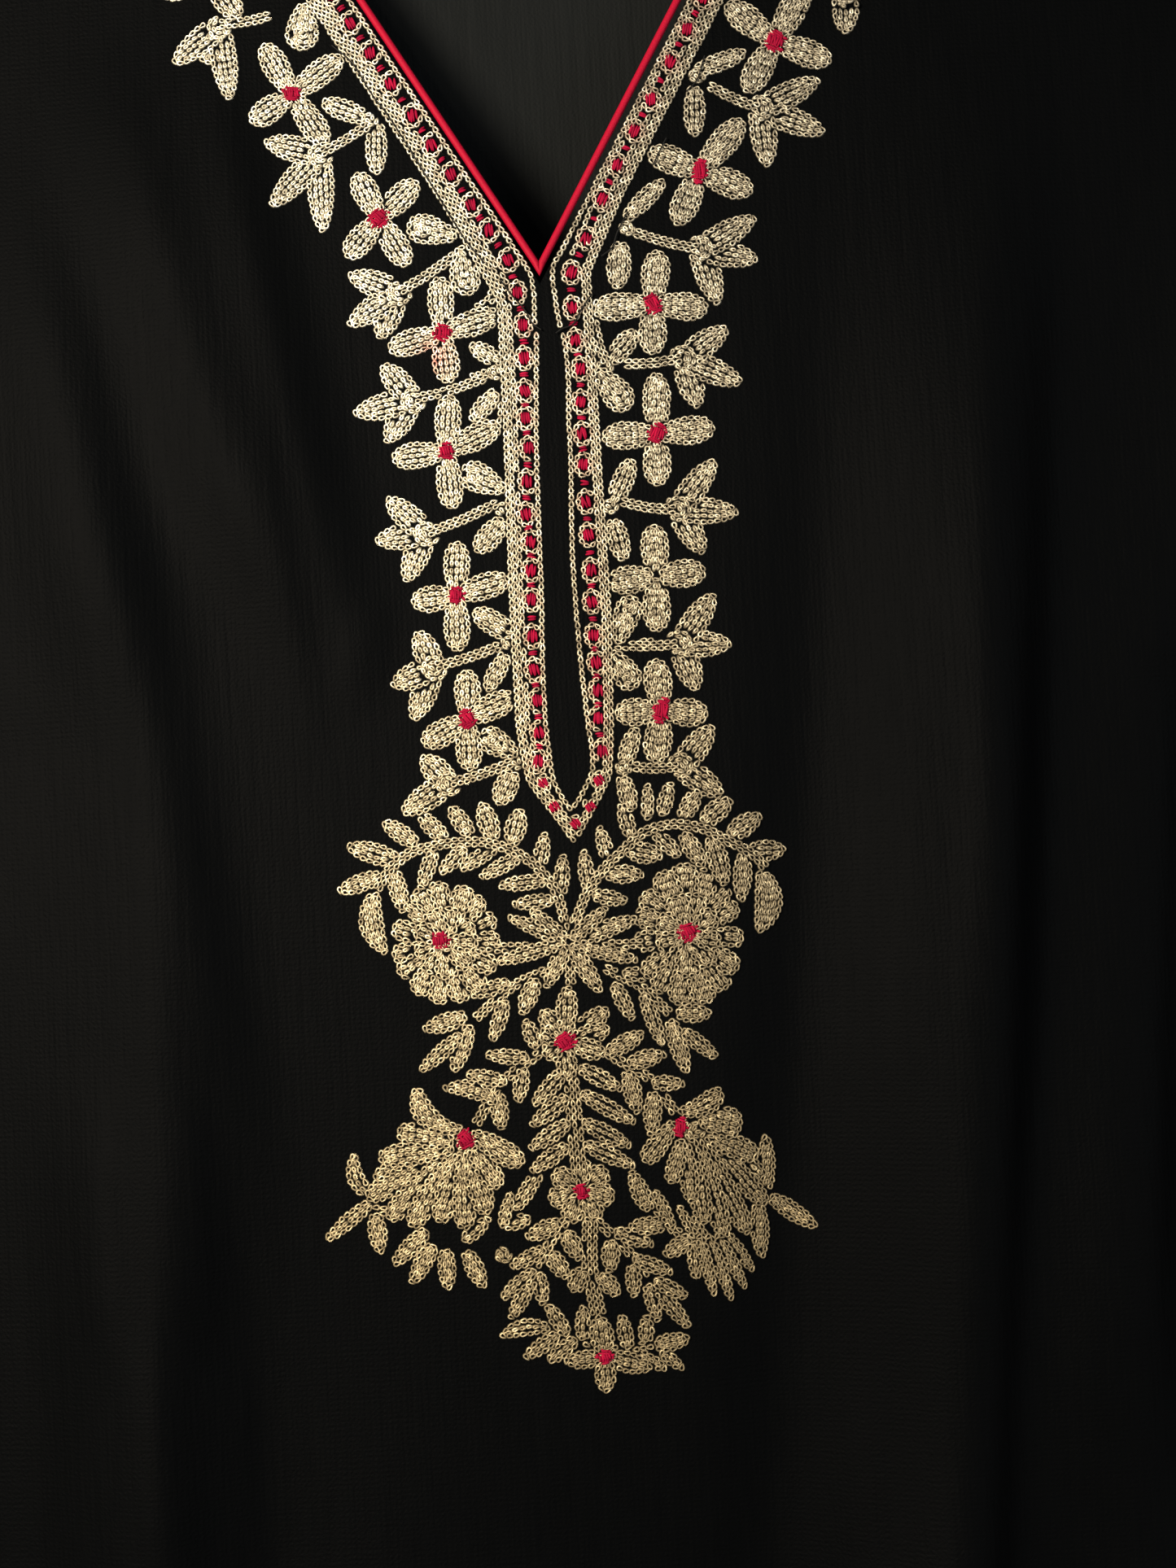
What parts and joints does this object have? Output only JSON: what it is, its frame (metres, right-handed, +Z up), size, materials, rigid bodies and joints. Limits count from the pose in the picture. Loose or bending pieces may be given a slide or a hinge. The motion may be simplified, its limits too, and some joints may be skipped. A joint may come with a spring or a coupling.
{
  "type": "kaftan on a hanger",
  "caption": "Long V-neck kaftan with wide sleeves, red neck piping and a raised embroidered border, hanging on a wooden hanger with a wire hook.",
  "frame": {"origin": "inside top of the hook, where the rail holds it", "axes": "+Z up along the garment, front of the garment towards -Y, +X to the right of someone facing the front"},
  "size_m": [0.9658, 0.1488, 1.4587],
  "materials": {
    "black_cloth": "matt woven crepe with a faint sheen",
    "red_piping": "satin bias piping",
    "metal_thread": "metallic gold and silver chain stitch",
    "red_thread": "soft wool knots",
    "hanger_wood": "satin lacquer",
    "hook_steel": "polished wire"
  },
  "bodies": {
    "root": {"front": "black_cloth", "back": "black_cloth", "sleeve_left": "black_cloth", "sleeve_right": "black_cloth", "neck_piping": "red_piping", "neck_border": "metal_thread", "hanger_body": "hanger_wood", "hanger_hook": "hook_steel"}
  },
  "joints": []
}
